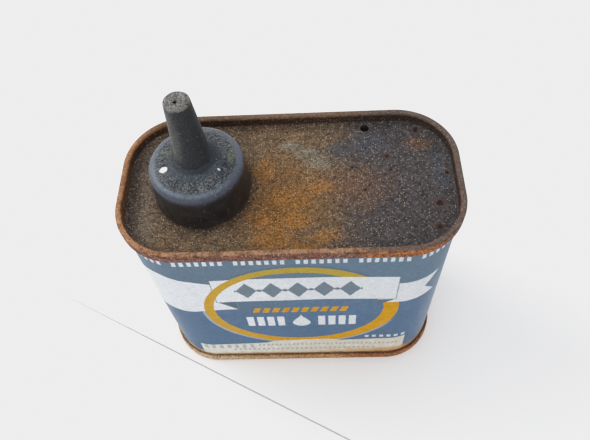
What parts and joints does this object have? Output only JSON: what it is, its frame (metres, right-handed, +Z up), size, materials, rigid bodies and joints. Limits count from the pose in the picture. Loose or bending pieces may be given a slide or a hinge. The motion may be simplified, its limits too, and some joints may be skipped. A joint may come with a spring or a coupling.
{
  "type": "handy oiler can",
  "caption": "Small oblong tinplate oil can with rounded ends, double-seamed rims and a black plastic screw-on pouring spout near one end.",
  "frame": {"origin": "centre of the base, on the surface that the can stands on", "axes": "+Z up through the can, the printed front faces -Y, and the spout stands near the -X end"},
  "size_m": [0.073, 0.0368, 0.0864],
  "materials": {
    "litho_tinplate": "printed ink on tinplate, worn and rust-spotted, satin",
    "end_tinplate": "rusted tinplate, gritty, matte with a few bare metal patches",
    "neck_tinplate": "dull tinplate",
    "solder": "dull grey solder",
    "seam_compound": "dried sealing compound",
    "washer_rubber": "oil-darkened washer, matte",
    "spout_plastic": "black moulded plastic, dusty, soft satin"
  },
  "bodies": {
    "can": {"body_wall": "litho_tinplate", "side_seam_solder": "solder", "top_end": "end_tinplate", "bottom_end": "end_tinplate", "top_seam_compound": "seam_compound", "bottom_seam_compound": "seam_compound", "neck": "neck_tinplate", "neck_solder": "solder"},
    "washer": {"sealing_washer": "washer_rubber"},
    "spout": {"spout": "spout_plastic"}
  },
  "joints": [
    {"name": "spout_lift", "type": "slide", "parent": "can", "child": "washer", "axis": [0, 0, 1], "range_m": [0, 0.00375]},
    {"name": "spout_turn", "type": "hinge", "parent": "washer", "child": "spout", "pos_m": [-0.0187, 0, 0.0675], "axis": [0, 0, 1], "range_deg": [0, 540]}
  ],
  "couplings": [
    {"joint": "spout_lift", "follows": "spout_turn", "m_per_rad": 0.00039788}
  ]
}
